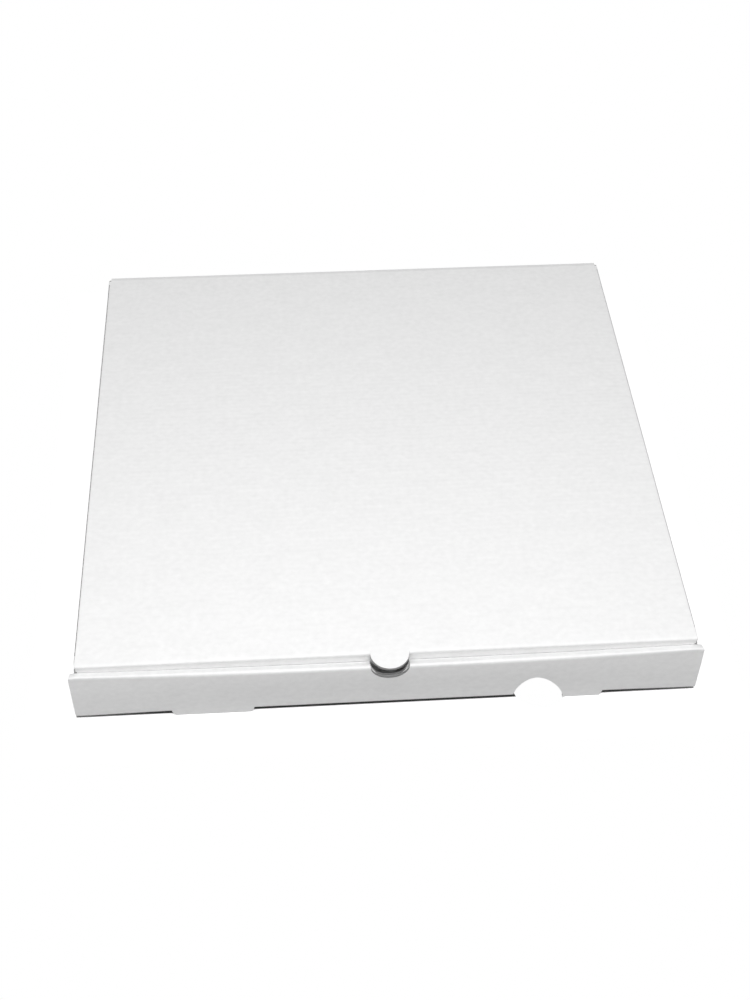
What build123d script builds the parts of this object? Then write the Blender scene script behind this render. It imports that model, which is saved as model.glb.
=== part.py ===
from build123d import *
import os
from math import radians

os.makedirs("parts", exist_ok=True)

# Closed pizza box folded from one sheet of thin white corrugated board, in millimetres.
# X runs to the right, Y to the back and Z up. The origin lies under the middle of the
# closed box, level with the two feet. The front wall faces -Y.

# The board
board = 1.5             # thickness
fold_radius = 0.5       # inside radius of a fold
layer_play = 0.1        # gap between layers that lie on each other in the tray
cut_play = 0.2          # gap along a die cut that has opened

# Tray
tray_width = 330.0      # across the outside of the side walls
tray_depth = 330.0      # from the outside of the front wall to that of the back wall
closed_height = 36.9    # from the underside to the top of the closed lid
lid_step = 3.9          # the lid's top above that of the rolled-over front wall
front_overhang = 2.9    # the front wall stands past each side wall
roll_overhang = 0.2     # so does the inner edge of the rolled-over top
back_overhang = 1.6     # so does the back wall

# Flaps at the ends of the side walls
front_flap_length = 46.0
rear_flap_length = 60.0
flap_end_taper = 4.0
flap_corner_radius = 5.0

# Feet and the locking tabs beside them
foot_centre = 94.5      # from the middle of the box
foot_width = 44.0
foot_drop = 3.4         # below the bottom
foot_end_slant = 1.7
lock_width = 39.0
lock_end_slant = 2.0
lock_depth = 1.0        # below the underside

# Thumb notch in the front wall, a round hole of the flat sheet
notch_radius = 10.4

# Round hole over the front fold, on the right
vent_radius = 13.0
vent_x = 81.0
vent_rise = 1.5         # centre above the underside
vent_inner_margin = 1.0     # the hole in the inner wall is larger by this much

# Lid
lid_play = 0.3          # in front of the lid's front flap and under the lid
lid_side_play = 0.2     # beside its side flaps
hinge_play = 0.2        # between the back wall and the lid's rear edge
lid_flap_lift = 8.4     # front flap, above the bottom
lid_flap_lean = 4.0     # degrees inwards from upright
lid_flap_inset = 2.3    # its ends lie inside the lid's front corners
lid_flap_end_slant = 9.0
lid_flap_corner_radius = 8.0
ear_reach = 1.0         # the lid's front corners reach out over the side walls
ear_length = 5.0
ear_drop = 1.8          # and keep their width so far below the lid's front fold
side_flap_lift = 9.4    # side flaps, above the bottom
side_flap_rear_gap = 8.0    # from the lid's rear edge
side_flap_end_slant = 8.0
side_flap_corner_radius = 6.0
tab_radius = 10.5       # thumb tab
tab_reach = 11.0        # in front of the lid's front fold

# Sizes that follow
fold_outer = fold_radius + board
half_width = tray_width / 2
front_half = half_width + front_overhang
roll_half = half_width + roll_overhang
back_half = half_width + back_overhang
inner_half = half_width - board - layer_play

# The front wall is three layers deep: outer wall, flap of the side wall, inner wall
roll_depth = 3 * board + 2 * layer_play
roll_flat = roll_depth - 2 * fold_outer     # flat stretch between the two folds of its top

# A fold of 90 degrees takes up this length of the flat sheet
square_fold = (fold_radius + board / 2) * radians(90)

# Levels
floor_z = foot_drop
floor_top = floor_z + board
fold_z = floor_z + fold_outer
lid_top = floor_z + closed_height
roll_top = lid_top - lid_step
roll_fold_z = roll_top - fold_outer
shoulder_z = roll_fold_z - layer_play
lid_under = lid_top - board
side_top = lid_under - lid_play
back_top = lid_under - hinge_play

# Places from front to back
tab_overhang = tab_reach - roll_depth - lid_play
back_y = (tray_depth + tab_overhang) / 2
front_y = back_y - tray_depth
roll_y = front_y + roll_depth
lid_front_y = roll_y + lid_play
front_flap_y = front_y + board + layer_play
rear_flap_y = back_y - board - layer_play
wall_start_y = front_flap_y + fold_outer
wall_end_y = rear_flap_y - fold_outer
shoulder_y = roll_y + layer_play

# Feet. Each is cut from the bottom, so in the flat sheet it fills its slot.
foot_start = foot_centre - foot_width / 2
foot_end = foot_centre + foot_width / 2
slot_front_y = front_y + fold_outer - square_fold + fold_outer
slot_rear_y = slot_front_y + foot_drop
lock_start = foot_centre - lock_width / 2
lock_end = foot_centre + lock_width / 2

# In the flat sheet the flaps of a side wall lie beside the ends of the front and back walls
corner_x = half_width - fold_outer
front_flap_low = fold_z + front_half + cut_play - corner_x - square_fold
rear_flap_low = fold_z + back_half + cut_play - corner_x - square_fold


def fold(plane, centre, start_angle, turn=90):
    """Section through a fold: a ring sector of board about the fold's centre."""
    with BuildSketch(plane) as section:
        with BuildLine():
            inner = CenterArc(centre, fold_radius, start_angle, turn)
            outer = CenterArc(centre, fold_outer, start_angle, turn)
            Line(inner @ 0, outer @ 0)
            Line(inner @ 1, outer @ 1)
        make_face()
    return section.sketch


def panel(plane, *points, rounded=(), radius=0):
    """Flat outline through the points, some of them rounded off."""
    with BuildSketch(plane) as outline:
        with BuildLine():
            Polyline(*points, close=True)
        make_face()
        for place in rounded:
            fillet(outline.vertices().sort_by_distance(Vector(*place))[0], radius=radius)
    return outline.sketch


# Planes across the depth of the box look along -Y, so a panel grows towards the front
def upright(y):
    return Plane.XZ.offset(-y)


def crosswise(x):
    return Plane.YZ.offset(x)


def level(z):
    return Plane.XY.offset(z)


with BuildPart() as tray:
    # Bottom, right half, with the slot that the foot leaves behind
    bottom = panel(
        level(floor_z),
        (0, back_y - fold_outer),
        (corner_x, back_y - fold_outer),
        (corner_x, front_y + fold_outer),
        (0, front_y + fold_outer),
    )
    extrude(bottom, amount=board)
    slot = panel(
        level(floor_z),
        (foot_start, front_y + board),
        (foot_end, front_y + board),
        (foot_end, slot_front_y),
        (foot_end - foot_end_slant, slot_rear_y),
        (foot_start + foot_end_slant, slot_rear_y),
        (foot_start, slot_front_y),
    )
    extrude(slot, amount=board, mode=Mode.SUBTRACT)

    # Front wall with its foot, which is cut from the bottom and stays straight
    front_wall = panel(
        upright(front_y + board),
        (0, roll_fold_z),
        (front_half, roll_fold_z),
        (front_half, fold_z),
        (foot_end, fold_z),
        (foot_end, floor_z),
        (foot_end - foot_end_slant, 0),
        (foot_start + foot_end_slant, 0),
        (foot_start, floor_z),
        (foot_start, fold_z),
        (0, fold_z),
    )
    extrude(front_wall, amount=board)
    front_fold_centre = (front_y + fold_outer, fold_z)
    extrude(fold(crosswise(0), front_fold_centre, 180), amount=foot_start)
    extrude(fold(crosswise(foot_end), front_fold_centre, 180), amount=front_half - foot_end)

    # Top of the front wall, rolled over to the inside and drawn in at its ends
    extrude(fold(crosswise(0), (front_y + fold_outer, roll_fold_z), 90), amount=front_half)
    roll = panel(
        level(roll_top - board),
        (0, front_y + fold_outer),
        (front_half, front_y + fold_outer),
        (roll_half, roll_y - fold_outer),
        (0, roll_y - fold_outer),
    )
    extrude(roll, amount=board)
    extrude(fold(crosswise(0), (roll_y - fold_outer, roll_fold_z), 0), amount=roll_half)

    # Inner front wall, with the locking tab that stands in the slot
    inner_foot_z = floor_top + layer_play
    inner_wall = panel(
        upright(roll_y),
        (0, roll_fold_z),
        (inner_half, roll_fold_z),
        (inner_half, inner_foot_z),
        (lock_end, inner_foot_z),
        (lock_end - lock_end_slant, floor_z - lock_depth),
        (lock_start + lock_end_slant, floor_z - lock_depth),
        (lock_start, inner_foot_z),
        (0, inner_foot_z),
    )
    extrude(inner_wall, amount=board)

    # Back wall
    extrude(fold(crosswise(0), (back_y - fold_outer, fold_z), 270), amount=back_half)
    back_wall = panel(
        upright(back_y),
        (0, fold_z),
        (back_half, fold_z),
        (back_half, back_top),
        (0, back_top),
    )
    extrude(back_wall, amount=board)

    # Side wall, with a low shoulder under the rolled-over front
    side_fold = fold(upright(wall_end_y), (corner_x, fold_z), 270)
    extrude(side_fold, amount=wall_end_y - wall_start_y)
    side_wall = panel(
        crosswise(half_width - board),
        (wall_start_y, fold_z),
        (wall_end_y, fold_z),
        (wall_end_y, side_top),
        (shoulder_y + side_top - shoulder_z, side_top),
        (shoulder_y, shoulder_z),
        (wall_start_y, shoulder_z),
    )
    extrude(side_wall, amount=board)

    # Front flap of the side wall, held between the two layers of the front wall
    front_corner = fold(level(front_flap_low), (corner_x, front_flap_y + fold_outer), 270)
    extrude(front_corner, amount=shoulder_z - front_flap_low)
    front_flap_end = half_width - front_flap_length
    front_flap = panel(
        upright(front_flap_y + board),
        (corner_x, front_flap_low),
        (corner_x, shoulder_z),
        (front_flap_end, shoulder_z - flap_end_taper),
        (front_flap_end, front_flap_low + flap_end_taper),
        rounded=[
            (front_flap_end, shoulder_z - flap_end_taper),
            (front_flap_end, front_flap_low + flap_end_taper),
        ],
        radius=flap_corner_radius,
    )
    extrude(front_flap, amount=board)

    # Rear flap of the side wall, lying against the back wall
    rear_corner = fold(level(rear_flap_low), (corner_x, rear_flap_y - fold_outer), 0)
    extrude(rear_corner, amount=side_top - rear_flap_low)
    rear_flap_end = half_width - rear_flap_length
    rear_flap = panel(
        upright(rear_flap_y),
        (corner_x, rear_flap_low),
        (corner_x, side_top),
        (rear_flap_end, side_top - flap_end_taper),
        (rear_flap_end, rear_flap_low + flap_end_taper),
        rounded=[
            (rear_flap_end, side_top - flap_end_taper),
            (rear_flap_end, rear_flap_low + flap_end_taper),
        ],
        radius=flap_corner_radius,
    )
    extrude(rear_flap, amount=board)

    mirror(about=Plane.YZ)

    # Thumb notch through both layers of the front wall. In the flat sheet its centre lies on the
    # middle line of the rolled top, so in each layer it comes a little above that top.
    notch_z = roll_fold_z + square_fold + roll_flat / 2
    with BuildSketch(upright(roll_y)) as notch:
        with Locations((0, notch_z)):
            Circle(notch_radius)
            Rectangle(2 * notch_radius, closed_height, align=(Align.CENTER, Align.MIN))
    extrude(amount=roll_depth, mode=Mode.SUBTRACT)

    # Round hole of the flat sheet: part of it lies in the front wall, the rest in the bottom
    vent_z = floor_z + vent_rise
    vent_y = front_y + fold_outer - square_fold + fold_z - vent_z
    with BuildSketch(upright(front_flap_y)) as front_vent:
        with Locations((vent_x, vent_z)):
            Circle(vent_radius)
    extrude(amount=board + layer_play, mode=Mode.SUBTRACT)
    with BuildSketch(level(floor_z)) as bottom_vent:
        with Locations((vent_x, vent_y)):
            Circle(vent_radius)
    extrude(amount=fold_outer, mode=Mode.SUBTRACT)
    with BuildSketch(upright(roll_y)) as inner_vent:
        with Locations((vent_x, vent_z)):
            Circle(vent_radius + vent_inner_margin)
    extrude(amount=board, mode=Mode.SUBTRACT)

tray.part.label = "tray"
export_step(tray.part, "parts/tray.step")


lid_half = half_width - board - lid_side_play
ear_half = lid_half + ear_reach
hinge_y = back_y - board / 2
hinge_z = lid_top - board / 2
lid_fold_z = lid_top - fold_outer
flap_turn = 90 + lid_flap_lean
lid_side_front = lid_front_y + fold_outer + ear_length
lid_side_rear = hinge_y - side_flap_rear_gap

with BuildPart() as lid:
    # Top, right half: its front corner reaches out over the side wall
    top = panel(
        level(lid_under),
        (0, hinge_y),
        (lid_half, hinge_y),
        (lid_half, lid_side_rear),
        (lid_half - fold_outer, lid_side_rear),
        (lid_half - fold_outer, lid_side_front),
        (ear_half, lid_side_front),
        (ear_half, lid_front_y + fold_outer),
        (0, lid_front_y + fold_outer),
    )
    extrude(top, amount=board)

    # The rear edge is rounded about the fold that joins the lid to the back wall
    with BuildSketch(crosswise(0)) as rear_edge:
        with Locations((hinge_y, hinge_z)):
            Circle(board / 2)
    extrude(amount=lid_half)

    # Thumb tab, cut from the front flap and left in the plane of the lid
    tab_root_y = lid_front_y + fold_outer
    tab_centre_y = lid_front_y - tab_reach + tab_radius
    with BuildSketch(level(lid_under)) as tab:
        with Locations((0, tab_centre_y)):
            Circle(tab_radius)
        with Locations((0, tab_root_y)):
            Rectangle(2 * tab_radius, tab_root_y - tab_centre_y, align=(Align.CENTER, Align.MAX))
    extrude(amount=board)

    # Front fold and front flap, which leans inwards and has the half-moon hole of the tab
    tab_gap_half = tab_radius + cut_play
    front_centre = (lid_front_y + fold_outer, lid_fold_z)
    extrude(fold(crosswise(tab_gap_half), front_centre, 90, flap_turn), amount=ear_half - tab_gap_half)
    outward = Vector(0, -1, 0).rotate(Axis.X, lid_flap_lean)
    flap_plane = Plane(
        origin=Vector(0, *front_centre) + outward * fold_outer,
        x_dir=(1, 0, 0),
        z_dir=outward,
    )
    flap_half = ear_half - lid_flap_inset
    flap_drop = lid_fold_z - floor_top - lid_flap_lift
    neutral_arc = (fold_radius + board / 2) * radians(flap_turn)
    hole_centre = neutral_arc - (tab_root_y - tab_centre_y)
    front_flap_outline = panel(
        flap_plane,
        (0, 0),
        (ear_half, 0),
        (ear_half, -ear_drop),
        (flap_half, -ear_drop),
        (flap_half - lid_flap_end_slant, -flap_drop),
        (0, -flap_drop),
        rounded=[(flap_half - lid_flap_end_slant, -flap_drop)],
        radius=lid_flap_corner_radius,
    )
    extrude(front_flap_outline, amount=-board)
    with BuildSketch(flap_plane) as half_moon:
        with Locations((0, hole_centre)):
            Circle(tab_gap_half)
    extrude(amount=-board, mode=Mode.SUBTRACT)

    # Side fold and side flap, inside the tray's side wall
    side_centre = (lid_half - fold_outer, lid_fold_z)
    lid_side_fold = fold(upright(lid_side_rear), side_centre, 0)
    extrude(lid_side_fold, amount=lid_side_rear - lid_side_front)
    side_flap_low = floor_top + side_flap_lift
    side_flap = panel(
        crosswise(lid_half - board),
        (lid_side_front, lid_fold_z),
        (lid_side_rear, lid_fold_z),
        (lid_side_rear - side_flap_end_slant, side_flap_low),
        (lid_side_front + side_flap_end_slant, side_flap_low),
        rounded=[
            (lid_side_rear - side_flap_end_slant, side_flap_low),
            (lid_side_front + side_flap_end_slant, side_flap_low),
        ],
        radius=side_flap_corner_radius,
    )
    extrude(side_flap, amount=board)

    mirror(about=Plane.YZ)

lid.part.label = "lid"
export_step(lid.part, "parts/lid.step")

for piece in (tray.part, lid.part):
    size = piece.bounding_box().size
    print(piece.label, len(piece.solids()), "solid,", round(piece.volume / 1000, 1), "cm3,", size)
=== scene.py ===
# %% [markdown]
# # A pizza box, folded from one flat sheet
#
# A pizza box is one sheet of thin corrugated board. A die cuts its outline, presses a crease
# wherever a panel will turn, and the shop folds it up without glue. Here it is made the same way:
# the flat sheet is drawn, cut and creased with bmesh operators, given its thickness, and then
# folded panel by panel. So every cut edge, hole and foot comes out where the real one does.
#
# All sizes below are in millimetres until a finished mesh is written.

# %% Load the frame and read the box's main sizes from it
from math import acos, asin, copysign, cos, degrees, pi, radians, sin

import bmesh
import bpy
from mathutils import Euler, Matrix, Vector, noise


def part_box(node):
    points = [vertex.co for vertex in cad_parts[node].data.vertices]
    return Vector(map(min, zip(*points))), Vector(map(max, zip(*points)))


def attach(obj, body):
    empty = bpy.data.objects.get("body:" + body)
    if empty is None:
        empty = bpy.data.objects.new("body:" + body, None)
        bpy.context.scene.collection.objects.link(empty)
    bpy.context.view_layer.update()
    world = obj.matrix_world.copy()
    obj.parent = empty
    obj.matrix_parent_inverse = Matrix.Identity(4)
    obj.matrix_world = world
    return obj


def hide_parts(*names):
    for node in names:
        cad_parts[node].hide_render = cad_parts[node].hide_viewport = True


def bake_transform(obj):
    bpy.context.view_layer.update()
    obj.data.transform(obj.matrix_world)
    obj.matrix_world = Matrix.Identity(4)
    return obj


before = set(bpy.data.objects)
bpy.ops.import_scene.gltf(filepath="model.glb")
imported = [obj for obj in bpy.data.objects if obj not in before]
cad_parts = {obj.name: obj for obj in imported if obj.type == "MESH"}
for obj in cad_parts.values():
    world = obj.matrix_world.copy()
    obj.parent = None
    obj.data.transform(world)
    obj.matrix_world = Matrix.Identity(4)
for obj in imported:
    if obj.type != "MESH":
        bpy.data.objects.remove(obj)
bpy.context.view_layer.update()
mm = 0.001

tray_low, tray_high = (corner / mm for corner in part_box("tray"))
_, lid_high = (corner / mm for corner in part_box("lid"))
front_y, back_y = tray_low.y, tray_high.y       # outer faces of the front and back walls
front_half = tray_high.x                        # half the width of the front wall
lid_top = lid_high.z
ear_half = lid_high.x
print("front", round(front_y, 2), "back", round(back_y, 2), "lid top", round(lid_top, 2))

# %% [markdown]
# ## The board
#
# Micro-flute board: two white papers with a low wavy one between them, 1.5 mm thick in all. A
# square fold has a small inside radius, and it takes up a short length of the sheet, measured
# along the middle of the board. That length is what turns panel sizes into places on the flat
# sheet. The press has crushed the board along its creases, so most folds are drawn out from a true
# arc towards a crisp corner. Only the fold that the lid turns on is flatter than an arc.

# %% Board and folds
board = 1.5
inside_radius = 0.5
outside_radius = inside_radius + board
middle_radius = inside_radius + board / 2
square_fold = middle_radius * radians(90)
crispness = 0.5                     # 1 is a true arc, less is crisper and more is flatter
sharp_crease, flat_crease = 0.1, 1.5
flute_pitch = 3.3
print("a square fold takes up", round(square_fold, 3), "mm of the sheet")

# %% [markdown]
# ## Panels of the tray
#
# `u` runs across the sheet and `v` from front to back. The bottom keeps its place and everything
# else hinges on it, so on the bottom `u` and `v` are simply x and y. In front of it lie the front
# wall, the narrow top where the wall rolls over, and the inner wall that ends in two locking
# tabs. Behind it is the back wall, and at each side a wall with a flap at both ends.

# %% Where each crease lies on the flat sheet
underside = 3.4                     # the bottom's height above the table
fold_z = underside + outside_radius         # where a wall's straight part starts
floor_top = underside + board
side_half = 165.0                   # half the width across the side walls
crease_u = side_half - outside_radius
wall_u = crease_u + square_fold             # foot of the side wall's straight part
roll_top = 36.4
roll_fold_z = roll_top - outside_radius
side_top = 38.5
shoulder_z = 34.3                   # low end of the side wall, under the rolled top
back_half = 166.6
roll_half = 165.2
inner_half = 163.4
roll_flat = 0.7
layer_play = 0.1
cut_play = 0.2                      # room beside a panel that folds past another

front_crease = front_y + outside_radius
front_wall_v = front_crease - square_fold
roll_crease = front_wall_v - (roll_fold_z - fold_z)
roll_v = roll_crease - square_fold
inner_crease = roll_v - roll_flat
inner_wall_v = inner_crease - square_fold
inner_end_v = inner_wall_v - (roll_fold_z - floor_top - layer_play)
back_crease = back_y - outside_radius
back_wall_v = back_crease + square_fold
front_flap_crease = front_y + board + layer_play + outside_radius
rear_flap_crease = back_y - board - layer_play - outside_radius


def side_u(height):
    """Place across the flat sheet of a height on the side wall."""
    return wall_u + height - fold_z


print("sheet reaches from v", round(inner_end_v, 1), "to", round(back_wall_v, 1), "and beyond")

# %% [markdown]
# ## Outlines
#
# A die line is drawn as a loop of corners. Rounded corners and holes are arcs of short chords.
# The right half is drawn once and mirrored, except round the vent hole, which only the right side
# has.

# %% Helpers that draw outlines
def arc(centre, radius, start, end, chords):
    """Points along an arc, in degrees from +u towards +v."""
    turns = [radians(start + (end - start) * n / chords) for n in range(chords + 1)]
    return [(centre[0] + radius * cos(t), centre[1] + radius * sin(t)) for t in turns]


def rounded(before, corner, after, radius, chords=6):
    """An arc in place of a corner between two straight edges."""
    corner = Vector(corner)
    one, two = (Vector(before) - corner).normalized(), (Vector(after) - corner).normalized()
    half = acos(one.dot(two)) / 2
    centre = corner + (one + two).normalized() * radius / sin(half)
    first = corner + one * radius * cos(half) / sin(half) - centre
    last = corner + two * radius * cos(half) / sin(half) - centre
    points = []
    for n in range(chords + 1):
        spoke = first.lerp(last, n / chords)
        points.append(tuple(centre + spoke.normalized() * radius))
    return points


def mirrored(points):
    return [(-u, v) for u, v in reversed(points)]


# %% Outline of the tray
crease_z = lid_top - outside_radius         # where the back wall turns over into the lid
strip_reach = 3.0                           # the moving crease is a piece of its own, from here
strip_z = crease_z - strip_reach
strip_v = back_wall_v + strip_z - fold_z
lid_half = 163.3
corner_half = lid_half + (back_half - lid_half) / 3     # the back wall narrows to the lid's width
front_flap_low, rear_flap_low = front_half + cut_play, back_half + cut_play
front_flap_v = front_flap_crease - square_fold
rear_flap_v = rear_flap_crease + square_fold
front_flap_end, rear_flap_end = front_flap_v - 44.0, rear_flap_v + 58.0
taper, flap_corner = 4.0, 5.0
shoulder_y = -157.2

rear_flap = [
    (rear_flap_low, rear_flap_v),
    (rear_flap_low + taper, rear_flap_end),
    (side_u(side_top) - taper, rear_flap_end),
    (side_u(side_top), rear_flap_v),
]
front_flap = [
    (side_u(shoulder_z), front_flap_v),
    (side_u(shoulder_z) - taper, front_flap_end),
    (front_flap_low + taper, front_flap_end),
    (front_flap_low, front_flap_v),
]
lock_start, lock_end, lock_slant = 75.0, 114.0, 2.0
lock_depth = floor_top + layer_play - (underside - 1.0)     # it ends a little under the bottom
lock_tip_v = inner_end_v - lock_depth
lock = [
    (lock_end, inner_end_v),
    (lock_end - lock_slant, lock_tip_v),
    (lock_start + lock_slant, lock_tip_v),
    (lock_start, inner_end_v),
]
quarter = [radians(15 * n) for n in range(7)]
end_round, roll_across = front_half - roll_half, roll_crease - inner_wall_v
roll_end = [(roll_half + end_round * cos(t), roll_crease - roll_across * sin(t)) for t in quarter]
to_lock = [
    (corner_half, strip_v),
    (back_half, strip_v - 2 * strip_reach),
    (back_half, back_crease),
    (crease_u, back_crease),
    (crease_u, rear_flap_crease),
    (rear_flap_low, rear_flap_crease),
    rear_flap[0],
    *rounded(*rear_flap[0:3], flap_corner),
    *rounded(*rear_flap[1:4], flap_corner),
    rear_flap[3],
    (side_u(side_top), shoulder_y + side_top - shoulder_z),
    (side_u(shoulder_z), shoulder_y),
    front_flap[0],
    *rounded(*front_flap[0:3], flap_corner),
    *rounded(*front_flap[1:4], flap_corner),
    front_flap[3],
    (front_flap_low, front_flap_crease),
    (crease_u, front_flap_crease),
    (crease_u, front_crease),
    (front_half, front_crease),
    *roll_end,
    (inner_half, inner_wall_v),
    (inner_half, inner_end_v),
]
vent_u, vent_z, vent_radius = 80.9, 4.9, 13.0
inner_vent_v = inner_end_v + vent_z - floor_top - layer_play
inner_vent_radius = vent_radius + 1.0
tab_cut = degrees(asin((lock_tip_v - inner_vent_v) / inner_vent_radius))
edge_cut = degrees(asin((inner_end_v - inner_vent_v) / inner_vent_radius))
right = to_lock + lock[:2] + arc(
    (vent_u, inner_vent_v), inner_vent_radius, tab_cut, 180 - edge_cut, chords=28
)
left = mirrored(to_lock + lock)
tray_outline = right + left
print("tray outline of", len(tray_outline), "corners")

# %% [markdown]
# Two kinds of holes lie inside that outline. The thumb notch is a round hole over the rolled top,
# and once the top is rolled it becomes a notch in both layers of the wall. Each foot is cut
# from the bottom and stays in the plane of the front wall, so it leaves a slot. The right slot
# runs into the vent hole, which lies over the front crease. In the outer layer that hole isn't
# quite round, so its circle is stretched upwards, narrowed towards its top and made to lean.

# %% Holes of the tray and outlines of the feet
vent_v = front_wall_v + fold_z - vent_z
vent_width, vent_taper = 1.01, 0.022        # share of the circle's width, and its loss per mm upwards
vent_rise, vent_lean = 1.15, 0.12


def vent_shape(points):
    """Moves points of a circle to the outline of the vent hole."""
    shaped = []
    for u, v in points:
        up = vent_v - v
        across = (u - vent_u) * (vent_width - vent_taper * up)
        rise = up + (vent_rise - 1) * max(0.0, up - (vent_v - front_wall_v))
        shaped.append((vent_u + across - vent_lean * rise, vent_v - rise))
    return shaped


notch_u, notch_radius = 0.2, 10.4
notch = arc((notch_u, roll_v - roll_flat / 2), notch_radius, 0, 360, chords=56)[:-1]
foot_start, foot_end, foot_slant = 72.5, 116.5, 1.7
slot_front = front_wall_v + outside_radius
slot_rear = slot_front + underside
slot = [
    (foot_end, front_wall_v),
    (foot_end, slot_front),
    (foot_end - foot_slant, slot_rear),
    (foot_start + foot_slant, slot_rear),
    (foot_start, slot_front),
    (foot_start, front_wall_v),
]
left_slot = mirrored(slot)
top_cut = degrees(asin((slot_rear - vent_v) / vent_radius))
root_cut = degrees(asin((front_wall_v - vent_v) / vent_radius))
vent = (vent_u, vent_v)
vent_and_slot = slot[:3] + vent_shape(arc(vent, vent_radius, top_cut, 360 + root_cut, chords=44))
right_foot = slot[:3] + vent_shape(arc(vent, vent_radius, top_cut, root_cut, chords=6))
left_foot = left_slot
print("slots reach", round(slot_rear - front_crease, 2), "mm into the bottom")

# %% [markdown]
# ## Cutting and creasing
#
# `plate` fills a set of loops with faces, holes left open. `score` draws lines right across the
# sheet with bisect_plane: close together within a crease, so that it can bend round, and every few
# millimetres elsewhere, so that a panel can bow a little. The fill's own diagonals are dissolved
# afterwards, which leaves a clean grid of cells that ends exactly on the cut lines.

# %% Helpers that cut and crease
cell = 8.0
bend_steps = 6
shoulder = 0.7                      # a line this far from a crease keeps the panel beside it flat
crease_room = 1.5                   # no other line comes nearer to a crease's own lines
hair = 1e-4                         # lengths below this count as nothing


def plate(bm, *loops, part=0):
    """Faces between an outline and its holes. part tells one plate's faces from another's."""
    edges = []
    for loop in loops:
        corners = [bm.verts.new((u, v, 0)) for u, v in loop]
        edges += [bm.edges.new(pair) for pair in zip(corners, corners[1:] + corners[:1])]
    made = bmesh.ops.triangle_fill(bm, use_beauty=True, edges=edges, normal=(0, 0, 1))
    part_layer = bm.faces.layers.int["part"]
    for item in made["geom"]:
        if isinstance(item, bmesh.types.BMFace):
            item[part_layer] = part


def new_sheet():
    bm = bmesh.new()
    bm.faces.layers.int.new("part")
    bm.verts.layers.float_vector.new("blank")
    return bm


def bend_lines(crease, side):
    """Lines across one crease: its steps, and a line beside it at each end."""
    steps = [crease + side * square_fold * n / bend_steps for n in range(bend_steps + 1)]
    return [crease - side * shoulder] + steps + [steps[-1] + side * shoulder]


def spread(low, high, creases):
    """Evenly spaced lines between low and high, none of them near a crease's own lines."""
    count = round((high - low) / cell)
    lines = [low + (high - low) * n / count for n in range(1, count)]
    return [line for line in lines if min(abs(line - c) for c in creases) > crease_room]


def score(bm, axis, lines):
    """Cuts the whole sheet along lines of constant u (axis 0) or v (axis 1)."""
    normal = Vector((1, 0, 0)) if axis == 0 else Vector((0, 1, 0))
    for line in lines:
        everything = bm.verts[:] + bm.edges[:] + bm.faces[:]
        bmesh.ops.bisect_plane(
            bm, geom=everything, dist=hair, plane_co=normal * line, plane_no=normal
        )


def clear_diagonals(bm):
    """Takes out what is left of the fill's own edges inside the cells."""
    slanted = []
    for edge in bm.edges:
        run = edge.verts[0].co - edge.verts[1].co
        if len(edge.link_faces) == 2 and min(abs(run.x), abs(run.y)) > hair:
            slanted.append(edge)
    bmesh.ops.dissolve_edges(bm, edges=slanted, use_verts=False, use_face_split=False)
    bmesh.ops.dissolve_degenerate(bm, edges=bm.edges[:], dist=0.01)
    spare = []
    for vert in bm.verts:
        if len(vert.link_edges) == 2:
            one, two = (edge.other_vert(vert).co - vert.co for edge in vert.link_edges)
            if one.normalized().dot(two.normalized()) < -0.99999:
                spare.append(vert)
    bmesh.ops.dissolve_verts(bm, verts=spare)


def sew(bm, axis, line, low=-1000.0, high=1000.0):
    """Joins two plates along a crease line between them."""
    near = [
        v for v in bm.verts if abs(v.co[axis] - line) < 1e-3 and low <= v.co[1 - axis] <= high
    ]
    bmesh.ops.remove_doubles(bm, verts=near, dist=1e-3)


# %% Cut and crease the tray
tray = new_sheet()
plate(tray, tray_outline, notch, left_slot, vent_and_slot)
plate(tray, right_foot, part=1)
plate(tray, left_foot, part=1)

v_creases = [
    bend_lines(front_crease, -1),
    bend_lines(roll_crease, -1),
    bend_lines(inner_crease, -1),
    bend_lines(back_crease, 1),
    bend_lines(front_flap_crease, -1),
    bend_lines(rear_flap_crease, 1),
]
u_creases = [bend_lines(side * crease_u, side) for side in (-1, 1)]
v_lines = sorted({round(line, 4) for lines in v_creases for line in lines})
u_lines = sorted({round(line, 4) for lines in u_creases for line in lines})
v_lines += [inner_wall_v - drop for drop in (1.8, 3.6, 5.4)]    # the inner layer curves here
score(tray, 1, v_lines + spread(inner_end_v, strip_v, v_lines))
score(tray, 0, u_lines + spread(-side_u(side_top), side_u(side_top), u_lines))
clear_diagonals(tray)
sew(tray, 1, front_wall_v)
print("flat tray:", len(tray.faces), "cells,", len(tray.verts), "corners")

# %% [markdown]
# ## Thickness and folding
#
# extrude_face_region lifts a copy of the flat faces by the board's thickness and closes the sides,
# so only real cut edges get an edge face. Each corner then keeps a note of its place on the flat
# sheet and its depth in the board. The folds read that note, and so does the paper's finish, which
# is why flutes and fibres run on unbroken round every bend.
#
# A fold bends what lies within its crease to an arc and turns what lies beyond it. Folds go from
# the outermost panel inwards, as a flap has to be turned before the wall that carries it.

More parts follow.
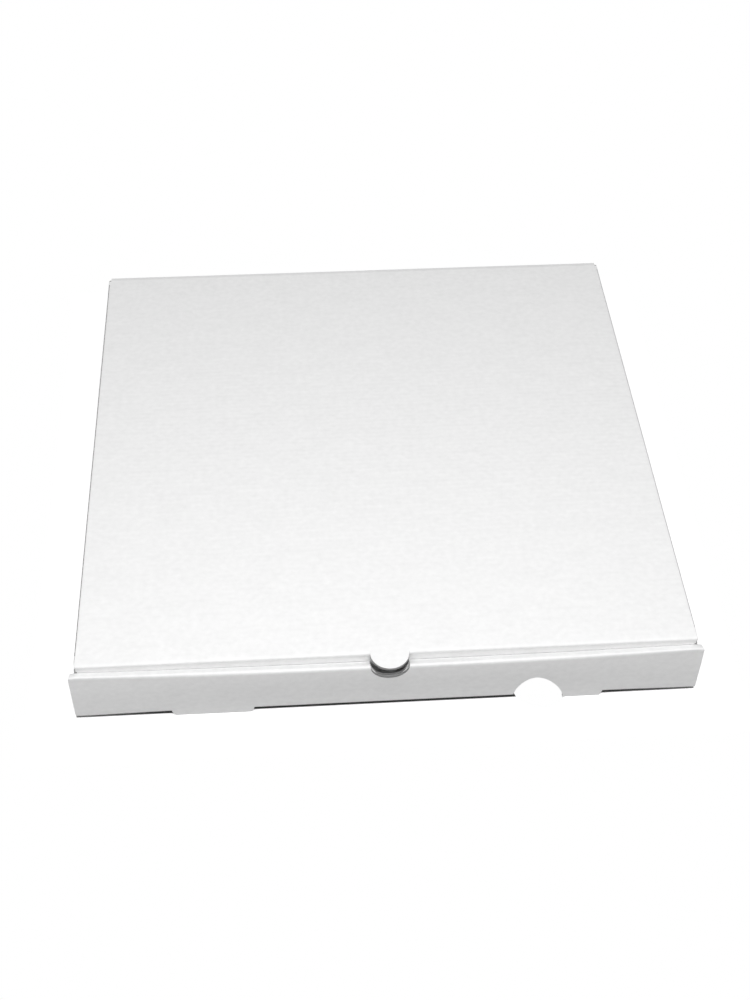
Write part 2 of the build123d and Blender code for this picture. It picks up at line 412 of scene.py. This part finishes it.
# %% Helpers that thicken and fold
def thicken(bm, outer_z, inward):
    """Gives the sheet its thickness, from its outer face at outer_z. Returns its cells."""
    part = bm.faces.layers.int["part"]
    blank = bm.verts.layers.float_vector["blank"]
    made = bmesh.ops.extrude_face_region(bm, geom=bm.faces[:])
    inner = {item for item in made["geom"] if isinstance(item, bmesh.types.BMVert)}
    for vert in bm.verts:
        depth = 1.0 if vert in inner else 0.0
        vert[blank] = (vert.co.x, vert.co.y, depth)
        vert.co.z = outer_z + inward * board * depth
    bmesh.ops.recalc_face_normals(bm, faces=bm.faces[:])
    cells = []
    for face in bm.faces:
        places = [vert[blank] for vert in face.verts]
        if len({place.z for place in places}) == 1:
            u, v, _ = sum(places, Vector()) / len(places)
            cells.append((u, v, face[part], face.verts[:]))
    return cells


def fold(bm, cells, base, axis, crease, side, moves, stiff=None, crisp=crispness):
    """Folds the cells that moves(u, v, part) picks squarely, about a crease from `crease` on.

    base is the sheet's outer height and its inward direction, +1 or -1. Parts named stiff turn
    with what lies beyond the crease wherever they are on the sheet.
    """
    outer_z, inward = base
    blank = bm.verts.layers.float_vector["blank"]
    picked = {}
    for u, v, part, verts in cells:
        if moves(u, v, part):
            for vert in verts:
                picked[vert] = picked.get(vert, False) or part == stiff
    for vert, rigid in picked.items():
        beyond = side * (vert[blank][axis] - crease)
        along = side * (vert.co[axis] - crease)
        radius = outside_radius - inward * (vert.co.z - outer_z)
        turned, rest = radians(90), along - square_fold
        if 0 < beyond < square_fold and not rigid:
            turned, rest = beyond / middle_radius, 0.0
        elif beyond <= 0 and not rigid:
            continue
        along = radius * sin(turned) ** crisp + rest * cos(turned)
        height = outside_radius - radius * cos(turned) ** crisp + rest * sin(turned)
        vert.co[axis] = crease + side * along
        vert.co.z = outer_z + inward * height


# %% Fold the tray
tray_base = (underside, 1)
cells = thicken(tray, *tray_base)
front_gap, rear_gap = front_flap_low - cut_play / 2, rear_flap_low - cut_play / 2


def is_front_flap(u, v, part):
    return abs(u) > front_gap and v < front_flap_crease


def is_rear_flap(u, v, part):
    return abs(u) > rear_gap and v > rear_flap_crease


def is_side(u, v, part):
    on_wall = abs(u) > crease_u and front_flap_crease < v < rear_flap_crease
    return on_wall or is_front_flap(u, v, part) or is_rear_flap(u, v, part)


def is_front(u, v, part):
    return part == 1 or (v < front_crease and abs(u) < front_gap)


def is_rolled(u, v, part):
    return v < roll_crease and abs(u) < front_gap


def is_inner(u, v, part):
    return v < inner_crease and abs(u) < front_gap


def is_back(u, v, part):
    return v > back_crease and abs(u) < back_half


fold(tray, cells, tray_base, 1, front_flap_crease, -1, is_front_flap)
fold(tray, cells, tray_base, 1, rear_flap_crease, 1, is_rear_flap)
fold(tray, cells, tray_base, 0, crease_u, 1, lambda u, v, p: is_side(u, v, p) and u > 0)
fold(tray, cells, tray_base, 0, -crease_u, -1, lambda u, v, p: is_side(u, v, p) and u < 0)
fold(tray, cells, tray_base, 1, inner_crease, -1, is_inner, crisp=sharp_crease)
fold(tray, cells, tray_base, 1, roll_crease, -1, is_rolled)
fold(tray, cells, tray_base, 1, front_crease, -1, is_front, stiff=1)
fold(tray, cells, tray_base, 1, back_crease, 1, is_back)
foot_corners = {vert for _, _, part, verts in cells if part == 1 for vert in verts}


def reach(bm):
    """Lowest and highest corner of a bmesh, rounded for printing."""
    low = [round(min(v.co[n] for v in bm.verts), 2) for n in range(3)]
    high = [round(max(v.co[n] for v in bm.verts), 2) for n in range(3)]
    return low, high


print("folded tray reaches", *reach(tray))

# %% [markdown]
# ## The lid
#
# The lid is the same sheet carried on past the back wall. It is drawn with its outer face up and x
# and y as they are on the closed box. The thumb tab is cut out of the front flap and stays in the
# plane of the lid, so the flap keeps a half-moon hole of the same outline. Ears beside the front
# fold stand past the side flaps, and the die has pressed their cut edges down, which gives the
# lid's side edges a fine grey line right to the corner. Each plate is filled by itself, with the
# cut between two plates left open, and sewn to its neighbour only along the crease.

# %% Cut and crease the lid
lid_crease_x = lid_half - outside_radius
flap_x = lid_crease_x + square_fold
lid_crease_y = -155.0
flap_y = lid_crease_y - square_fold
lid_rear_y = back_crease - strip_reach
side_front, side_rear = lid_crease_y + 5.0, 159.25
flap_half, flap_length, flap_straight, flap_taper = 163.2, 25.0, 6.0, 8.0
ear_drop = 2.6                      # the ears go on down the flap nearly to the rolled top
pressed, pressed_rim = 1.0, 1.0     # how far down, and how wide the pressed rim is
side_length, side_taper = 24.0, 8.0
tab_radius, tab_centre = 10.3, (0.25, -157.5)
tab_slope = 0.01                    # the tab hangs down a very little
hem = 0.01                          # within this distance a corner lies on a cut or a crease

tab = arc(tab_centre, tab_radius, 0, -180, chords=28)
tab = [(tab[0][0], lid_crease_y)] + tab + [(tab[-1][0], lid_crease_y)]
half_top = [
    (lid_half, lid_rear_y),
    (lid_half, side_rear),
    (lid_crease_x, side_rear),
    (lid_crease_x, side_front),
    (ear_half, side_front),
    (ear_half, lid_crease_y),
]
ear_y, flap_end = flap_y - ear_drop, flap_y - flap_length
flap_side, flap_foot = (flap_half, flap_y - flap_straight), (flap_half - flap_taper, flap_end)
front_corner = [
    (ear_half, ear_y),
    (flap_half, ear_y),
    flap_side,
    *rounded(flap_side, flap_foot, (0, flap_end), 8.0),
]
side_corners = [
    (flap_x, side_rear),
    (flap_x + side_length, side_rear - side_taper),
    (flap_x + side_length, side_front + side_taper),
    (flap_x, side_front),
]
side_plate = [
    (lid_crease_x, side_rear),
    side_corners[0],
    *rounded(*side_corners[0:3], 6.0),
    *rounded(*side_corners[1:4], 6.0),
    side_corners[3],
    (lid_crease_x, side_front),
]
lid = new_sheet()
plate(lid, half_top + tab + mirrored(half_top))
flap_plate = tab[::-1] + [(ear_half, lid_crease_y)] + front_corner + mirrored(front_corner)
plate(lid, flap_plate + [(-ear_half, lid_crease_y)], part=1)
plate(lid, side_plate, part=2)
plate(lid, mirrored(side_plate), part=2)

y_lines = bend_lines(lid_crease_y, -1) + [ear_y, ear_y - 1.0]
x_lines = bend_lines(lid_crease_x, 1) + bend_lines(-lid_crease_x, -1)
x_lines += [pressed_rim - ear_half, ear_half - pressed_rim]
score(lid, 1, y_lines + spread(flap_end, lid_rear_y, y_lines))
score(lid, 0, x_lines + spread(-flap_x - side_length, flap_x + side_length, x_lines))
clear_diagonals(lid)
sew(lid, 1, lid_crease_y)
for side in (-1, 1):
    sew(lid, 0, side * lid_crease_x, side_front - hem, side_rear + hem)
print("flat lid:", len(lid.faces), "cells")

# %% Fold the lid
lid_base = (lid_top, -1)
cells = thicken(lid, *lid_base)
sheet_place = lid.verts.layers.float_vector["blank"]
for vert in lid.verts:
    at_cut = abs(vert.co.x) > ear_half - hem and ear_y - hem < vert.co.y < side_front + hem
    if at_cut and vert[sheet_place].z == 0:
        vert.co.z -= pressed
fold(lid, cells, lid_base, 0, lid_crease_x, 1, lambda u, v, part: part == 2 and u > 0)
fold(lid, cells, lid_base, 0, -lid_crease_x, -1, lambda u, v, part: part == 2 and u < 0)
fold(lid, cells, lid_base, 1, lid_crease_y, -1, lambda u, v, part: part == 1)
flap_corners = {vert for _, _, part, verts in cells if part == 1 for vert in verts}
tab_cells = [verts for _, v, part, verts in cells if part == 0 and v < lid_crease_y]
for vert in {vert for verts in tab_cells for vert in verts}:
    vert.co.z -= tab_slope * (lid_crease_y - vert.co.y)
lid_fold_v = back_wall_v + crease_z - fold_z + square_fold
front_fold_v = lid_fold_v + back_crease - lid_crease_y
for vert in lid.verts:
    vert[sheet_place].y = lid_fold_v + back_crease - vert[sheet_place].y
print("folded lid reaches", *reach(lid))

# %% [markdown]
# ## The crease that moves
#
# Between the back wall and the lid the sheet bends when the box opens. That strip is a small piece
# of its own: it is made flat, in line with the bottom, and folded twice like the rest. On a closed
# box the lid's rear edge bends down a little and its crease stands out over the back wall, which
# draws a fine grey line along the back of the lid.

# %% Cut, crease and fold the strip
sag_reach = 2.1
sag_from = back_crease - sag_reach          # from here back the lid's rear edge bends down
back_sag, back_lip = 1.2, 1.4       # how far it bends down and stands out
lid_crease_v = lid_fold_v - square_fold
half_strip = [
    (lid_half, lid_fold_v + back_crease - lid_rear_y),
    (lid_half, lid_crease_v),
    (corner_half, strip_v),
]
strip = new_sheet()
plate(strip, half_strip + mirrored(half_strip))
strip_lines = bend_lines(lid_crease_v, 1)
strip_lines += [lid_crease_v - past for past in (1.4, sag_reach)]
strip_lines += [lid_fold_v + past for past in (1.4, sag_reach)]
score(strip, 1, strip_lines)
score(strip, 0, spread(-back_half, back_half, [back_half + cell]))
clear_diagonals(strip)
cells = thicken(strip, *tray_base)
fold(
    strip, cells, tray_base, 1, lid_crease_v, 1, lambda u, v, part: v > lid_crease_v,
    crisp=flat_crease,
)
fold(strip, cells, tray_base, 1, back_crease, 1, lambda u, v, part: True)
for vert in strip.verts:
    rearward = max(0.0, vert.co.y - sag_from) / (back_y - sag_from)
    rearward *= min(1.0, max(0.0, vert.co.z - strip_z) / strip_reach)
    vert.co.y += back_lip * rearward
    vert.co.z -= back_sag * rearward
print("folded strip reaches", *reach(strip))

# %% [markdown]
# ## Board that has been handled
#
# Folded board is never quite flat. Between its ends the front wall bows forwards by about two
# millimetres, and near its top the outer layer leans back again. Further down the inner layer lies
# against the outer one, but near the top it springs open. So the rolled top is wider there, falls
# to the rear and leans on the lid's flap, and its ends are pressed down. The wall's lower corners
# hang down a little beside the feet. The lid's flap leans into the box, and the lid's creases
# stand out over the flap and the side walls. All of it is worked out from a corner's place in the
# box or on the sheet, so the three pieces still meet. Every panel also has a slow wave of a tenth
# or two.

# %% Bow and settle, then write the meshes
bow, foot_bow = 2.3, 0.45           # forwards in the middle, at the top and at the foot
lean_back = 0.6                     # of the outer layer, near its top
loose_from = 28.0                   # above this height the inner layer springs away
pinch = 1.5                         # the layers come this much nearer where no flap is between
roll_fall, roll_sink = 1.5, 1.1     # fall of the rolled top to the rear, at its ends and with the bow
fall_power = 1.4                    # above 1 the rolled top curves down towards the rear
roll_reach, reach_more = 0.25, 0.22         # its rear edge leans on the lid's flap
crushed_end = 0.7                   # the rolled top's ends are pressed down
corner_droop = 0.9                  # of the front wall's lower corners
flap_lean, flap_spring = 0.14, 0.30         # of the lid's flap, and more of it further down
spring_from = 31.0
lid_lip = 0.75                      # how far the lid's front crease stands out over its flap
side_lip, ear_lip = 1.2, 0.4        # how far its sides stand out over the walls
wave, wave_length = 0.22, 95.0


def ease(value, low, high):
    """0 below low, 1 above high, and a smooth step in between."""
    share = min(1.0, max(0.0, (value - low) / (high - low)))
    return (1 - cos(pi * share)) / 2


def bow_front(place, v, foot):
    """Moves a corner of the front wall's two layers, or of a foot, to its place when bowed."""
    sideways = max(0.0, 1 - (place.x / front_half) ** 2)
    over = min(1.0, max(0.0, (roll_crease - v) / (roll_crease - inner_crease + square_fold / 2)))
    across = (place.y - front_y) / (outside_radius * 2 + roll_flat)
    loose = over * ease(place.z, loose_from, roll_fold_z)
    forwards = foot_bow * sideways * (1 if foot else ease(front_crease - v, 0, square_fold))
    forwards += (bow - foot_bow) * sideways * ease(place.z, fold_z, roll_top)
    forwards += pinch * over * (1 - ease(abs(place.x), 30, 72)) * ease(place.z, 6, 16)
    back = lean_back * ease(place.z, 20, roll_top) * (1 - over)
    reach = (roll_reach + reach_more * bow * sideways) * loose
    fall = roll_fall + roll_sink * bow * sideways
    fall *= max(0.0, across) ** fall_power * ease(place.z, 29, roll_fold_z)
    fall += crushed_end * ease(abs(place.x), 162, 169) * ease(place.z, 28, roll_fold_z)
    place.y += back + reach - forwards * (1 - loose)
    place.z -= fall


def settled(place):
    """Slow wave of the panels, weaker near the edges of the box."""
    free = 1 - max(abs(place.x) / 170, abs(place.y) / 175) ** 6
    drift = noise.noise_vector(place / wave_length)
    return drift * wave * (0.3 + 0.7 * max(0.0, free))


sheet_place = tray.verts.layers.float_vector["blank"]
for vert in tray.verts:
    if vert in foot_corners or vert[sheet_place].y < front_crease:
        bow_front(vert.co, vert[sheet_place].y, vert in foot_corners)
for vert in tray.verts:
    at_corner = ease(abs(vert.co.x), foot_end, front_half) * ease(-vert.co.y, 90, 160)
    vert.co.z -= corner_droop * at_corner * (1 - ease(vert.co.z, 6, 30))
sheet_place = lid.verts.layers.float_vector["blank"]
for vert in flap_corners:
    past = ease(vert[sheet_place].y, front_fold_v, front_fold_v + square_fold)
    below = max(0.0, spring_from - vert.co.z)
    vert.co.y += flap_lean * (lid_top - vert.co.z) + flap_spring * below - lid_lip * past
for vert in lid.verts:
    lip = side_lip if vert.co.y > side_front else ear_lip
    out = ease(vert.co.z, side_top, side_top + 1) * ease(abs(vert.co.x), 155, 162)
    vert.co.x += copysign(lip * out, vert.co.x)


sharp_from = 35                     # degrees between two faces, from which their edge is sharp


def finish_piece(name, bm):
    """Writes a folded sheet to a mesh in metres, smooth over its bends and sharp at its cuts."""
    for vert in bm.verts:
        vert.co += settled(vert.co)
    for edge in bm.edges:
        edge.smooth = edge.calc_face_angle(0) < radians(sharp_from)
    for face in bm.faces:
        face.smooth = True
    bmesh.ops.scale(bm, vec=(mm, mm, mm), verts=bm.verts[:])
    bmesh.ops.triangulate(bm, faces=[face for face in bm.faces if len(face.verts) > 4])
    mesh = bpy.data.meshes.new(name)
    open_edges = sum(len(edge.link_faces) != 2 for edge in bm.edges)
    volume = round(bm.calc_volume() * 1e6, 1)
    print(name, len(bm.faces), "faces,", volume, "cm3,", open_edges, "open edges")
    bm.to_mesh(mesh)
    bm.free()
    piece = bpy.data.objects.new(name, mesh)
    bpy.context.scene.collection.objects.link(piece)
    return piece


tray_board = finish_piece("tray_board", tray)
lid_board = finish_piece("lid_board", lid)
lid_crease = finish_piece("lid_crease", strip)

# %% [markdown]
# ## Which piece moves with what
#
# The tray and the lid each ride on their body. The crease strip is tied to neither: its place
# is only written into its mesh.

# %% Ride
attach(tray_board, "tray")
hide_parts("tray")
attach(lid_board, "lid")
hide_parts("lid")
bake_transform(lid_crease)

# %% [markdown]
# ## White board as a material
#
# The outer and inner papers are smooth white paper: not one flat white, but faintly cloudy and
# flecked where the fibres lie thicker, with a low washboard where the flutes show through. A cut
# edge shows the two papers and the wavy one between them, with painted shade in the hollows beside
# the wavy one. All of it is worked out from each point's place on the flat sheet, kept in the mesh
# as the attribute `blank`, so the flutes run across the sheet and follow every fold.
#
# Node sums are written as plain expressions. `Wire` wraps one socket, and adding or multiplying
# wires adds the Math nodes. `Finish.node` makes any other node.

# %% Small helpers for materials
class Wire:
    """One output of a material's nodes."""

    def __init__(self, finish, socket):
        self.finish, self.socket = finish, socket

    def math(self, operation, *others):
        settings = {"operation": operation}
        return self.finish.node("ShaderNodeMath", settings, dict(enumerate((self, *others))))

    def __add__(self, other):
        return self.math("ADD", other)

    def __sub__(self, other):
        return self.math("SUBTRACT", other)

    def __rsub__(self, other):
        return self.finish.node("ShaderNodeMath", {"operation": "SUBTRACT"}, {0: other, 1: self})

    def __mul__(self, other):
        return self.math("MULTIPLY", other)

    def __abs__(self):
        return self.math("ABSOLUTE")

    def above(self, other):
        return self.math("GREATER_THAN", other)

    def below(self, other):
        return self.math("LESS_THAN", other)

    def sine(self):
        return self.math("SINE")

    __radd__ = __add__
    __rmul__ = __mul__


class Finish:
    """A material whose nodes are written as expressions."""

    def __init__(self, name):
        self.material = bpy.data.materials.new(name)
        self.material.use_nodes = True
        self.nodes = self.material.node_tree.nodes
        self.links = self.material.node_tree.links
        self.nodes.clear()
        self.output = self.nodes.new("ShaderNodeOutputMaterial")

    def node(self, kind, settings=None, values=None, out=0):
        made = self.nodes.new(kind)
        for name, value in (settings or {}).items():
            setattr(made, name, value)
        for name, value in (values or {}).items():
            self.plug(made.inputs[name], value)
        return Wire(self, made.outputs[out])

    def plug(self, socket, value):
        if isinstance(value, Wire):
            self.links.new(value.socket, socket)
        else:
            socket.default_value = value

    def grey(self, low, high, factor):
        """A colour between two greys."""
        colours = {6: (low, low, low, 1), 7: (high, high, high, 1), 0: factor}
        return self.node("ShaderNodeMix", {"data_type": "RGBA"}, colours, out=2)


# %% White board
# the cut edge's own grey, and a darker grey painted in the flute hollows as painted shade
paper_greys, edge_grey_and_hollow_shade = (0.82, 0.91), (0.50, 0.18)
core_share = 0.74                   # share of the board's thickness between its two papers
wavy_reach, wavy_half = 0.27, 0.085         # the wavy paper's swing and half thickness, as shares


def white_board():
    make = Finish("white_board")
    sheet = make.node("ShaderNodeAttribute", {"attribute_name": "blank"}, out="Vector")
    along_v = make.node("ShaderNodeSeparateXYZ", values={0: sheet}, out="Y")
    depth = make.node("ShaderNodeSeparateXYZ", values={0: sheet}, out="Z")

    def mottle(stretch, detail, roughness):
        """Noise from -1 to 1 at a scale per millimetre across and along the sheet."""
        place = make.node(
            "ShaderNodeVectorMath", {"operation": "MULTIPLY"}, {0: sheet, 1: (*stretch, 2.0)}
        )
        values = {"Vector": place, "Scale": 1.0, "Detail": detail, "Roughness": roughness}
        return make.node("ShaderNodeTexNoise", values=values) * 2.0 - 1.0

    clouds = mottle((0.055, 0.085), 4.0, 0.6)
    flecks = mottle((0.28, 0.31), 2.0, 0.5)
    streaks = mottle((0.04, 0.33), 2.0, 0.5)        # they lie along the flutes
    flute = (along_v * (2 * pi / flute_pitch)).sine()

    # Cut edge: the two papers, and the wavy one that swings between them, with painted shade in the
    # hollows beside it
    core = abs(depth * 2.0 - 1.0).below(core_share)
    centre = flute * wavy_reach + 0.5
    hollow = abs(depth - centre).above(wavy_half) * core
    edge = abs(depth * 2.0 - 1.0).below(0.995)

    paper = make.grey(*paper_greys, clouds * 0.36 + flecks * 0.62 + streaks * 0.08 + 0.5)
    # painted shade: the hollows between the wavy paper and the two papers are coloured dark
    cut = make.grey(*edge_grey_and_hollow_shade, hollow * (flecks * 0.25 + 0.75))
    colour = make.node("ShaderNodeMix", {"data_type": "RGBA"}, {0: edge, 6: paper, 7: cut}, out=2)

    # Relief in millimetres, which the bump's distance turns into metres
    relief = flute * 0.010 + flecks * 0.006 + clouds * 0.030 - hollow * 0.10
    bump = make.node(
        "ShaderNodeBump", values={"Strength": 1.0, "Distance": mm, "Height": relief}
    )
    shader = make.node(
        "ShaderNodeBsdfPrincipled",
        values={
            "Base Color": colour,
            "Roughness": clouds * 0.04 + flecks * 0.03 + 0.78,
            "Normal": bump,
            "IOR": 1.45,
        },
    )
    make.plug(make.output.inputs["Surface"], shader)
    return make.material


board_finish = white_board()
for piece in (tray_board, lid_board, lid_crease):
    piece.data.materials.clear()
    piece.data.materials.append(board_finish)
print("white board:", len(board_finish.node_tree.nodes), "nodes")

# %% [markdown]
# ## Floor
#
# The box stands on its two feet and on the rear edge of its bottom, so it leans back by about half
# a degree. Here the box stays level and the floor leans instead. To the light it is one darker matt
# tone all over, so that it gives little light back to the box. To the camera it is a white matt
# surface beside the box, which keeps the box's soft shadow and turns to plain white a little
# farther off. Where the vent hole shows it, it is painted plain white, a painted light in place of
# the shade under the box. In the narrow gap under the box a dark tone is painted on as painted
# shade, a little less dark near the corners.

# %% Floor
floor_tone = 0.22                   # how much light the floor gives back to the box
beside_tone = 1.6                   # beside the box, bright enough to look white in soft light
gap_shade_tone, gap_shade_lift = 0.07, 0.16        # painted shade under the box, and how much lighter it is painted near the corners
corner_from, corner_full = 120.0, 168.0     # across the box, in millimetres
white_from, white_full = 8.0, 30.0          # out from the box, in millimetres
seen_through = (vent_u + 2.6, front_y + vent_z + 2.5, 0)    # the floor under the vent hole, painted plain white as painted light
floor_mesh = bmesh.new()
bmesh.ops.create_grid(floor_mesh, x_segments=2, y_segments=2, size=5.0)
lean = underside / (back_crease - front_y)
for vert in floor_mesh.verts:
    vert.co.z = (vert.co.y - (front_y + board) * mm) * lean
floor_data = bpy.data.meshes.new("floor")
floor_mesh.to_mesh(floor_data)
floor_mesh.free()
floor = bpy.data.objects.new("floor", floor_data)
bpy.context.scene.collection.objects.link(floor)

make = Finish("pale_floor")
seen = make.node("ShaderNodeLightPath", out="Is Camera Ray")
seen = seen + make.node("ShaderNodeLightPath", out="Is Glossy Ray")
seen = seen + make.node("ShaderNodeLightPath", out="Is Transmission Ray")
place = make.node("ShaderNodeTexCoord", out="Object")
x_place = make.node("ShaderNodeSeparateXYZ", values={0: place}, out="X")
y_place = make.node("ShaderNodeSeparateXYZ", values={0: place}, out="Y")
middle_y, half_y = (front_y + board + back_y) / 2, (back_y - front_y - board) / 2
wider = y_place.below((front_y + 4) * mm) * ((front_half - side_half) * mm)
beside = abs(x_place) - wider - side_half * mm
before = abs(y_place - middle_y * mm) - half_y * mm
outside = beside.math("MAXIMUM", before)
from_vent = make.node(
    "ShaderNodeVectorMath",
    {"operation": "DISTANCE"},
    {0: place, 1: Vector(seen_through) * mm},
    out="Value",
)


def ramp(value, low, high):
    """0 at low and 1 at high, given in millimetres."""
    limits = {"Value": value, "From Min": low * mm, "From Max": high * mm}
    return make.node("ShaderNodeMapRange", values=limits)


beyond = ramp(outside, 0.0, 0.5)
far = ramp(outside, white_from, white_full)
# painted light: where the vent hole shows the floor under the box, it glows plain white instead of
# lying in shade
white = far.math("MAXIMUM", from_vent.below((vent_radius + 2.0) * mm)) * seen
# painted shade: a dark floor tone in the narrow gap under the box, painted lighter towards the
# corners
under = ramp(abs(x_place), corner_from, corner_full) * gap_shade_lift + gap_shade_tone
near_tone = beyond * (beside_tone - under) + under
tone = seen * (near_tone - floor_tone) + floor_tone
matt = make.node("ShaderNodeBsdfDiffuse", values={"Color": tone})
plain = make.node("ShaderNodeEmission", values={"Strength": 1.0})
both = make.node("ShaderNodeMixShader", values={0: white, 1: matt, 2: plain})
make.plug(make.output.inputs["Surface"], both)
floor.data.materials.append(make.material)
print("floor leans", round(degrees(lean), 2), "degrees")

# %% [markdown]
# ## Light and camera
#
# An even surround gives about half of the light, though the camera sees it plain white, and one
# large soft lamp gives the rest. The lamp is in front of the box and above it, aimed at the middle
# of the lid, so the lid is brightest at its front and falls off gently to its back. The camera
# stands in front and above, looking down, where the four edges of the lid fall as they do from
# such a viewpoint.

# %% Surround and lamp
surround_light = 0.48
world = bpy.data.worlds.new("surround")
bpy.context.scene.world = world
world.use_nodes = True
nodes, links = world.node_tree.nodes, world.node_tree.links
nodes.clear()
path = nodes.new("ShaderNodeLightPath")
direct = nodes.new("ShaderNodeMath")
direct.operation = "MAXIMUM"
links.new(path.outputs["Is Camera Ray"], direct.inputs[0])
links.new(path.outputs["Is Glossy Ray"], direct.inputs[1])
background = nodes.new("ShaderNodeBackground")
level = nodes.new("ShaderNodeMix")
level.inputs[2].default_value = surround_light
level.inputs[3].default_value = 1.0
links.new(direct.outputs[0], level.inputs[0])
links.new(level.outputs[0], background.inputs["Strength"])
background.inputs["Color"].default_value = (1, 1, 1, 1)
world_output = nodes.new("ShaderNodeOutputWorld")
links.new(background.outputs[0], world_output.inputs["Surface"])

lamp_data = bpy.data.lights.new("soft_lamp", "AREA")
lamp_data.shape = "DISK"
lamp_data.size = 0.7
lamp_data.energy = 5.15
lamp = bpy.data.objects.new("soft_lamp", lamp_data)
lamp.location = (-0.03, -0.48, 0.75)
from_lid = lamp.location - Vector((0, 0, lid_top * mm))
lamp.rotation_euler = from_lid.to_track_quat("Z", "Y").to_euler()
lamp.visible_camera = False
bpy.context.scene.collection.objects.link(lamp)
print("lamp", lamp_data.energy, "W")

# %% Camera
camera_data = bpy.data.cameras.new("camera")
camera_data.sensor_width = 36
camera_data.lens = 52.70
camera = bpy.data.objects.new("camera", camera_data)
camera.location = Vector((-44.03, -624.54, 653.91)) * mm
camera.rotation_euler = Euler((radians(43.335), radians(-0.562), radians(-3.736)))
bpy.context.scene.collection.objects.link(camera)
bpy.context.scene.camera = camera
bpy.context.scene.view_settings.view_transform = "Standard"
print("camera", [round(x, 3) for x in camera.location])
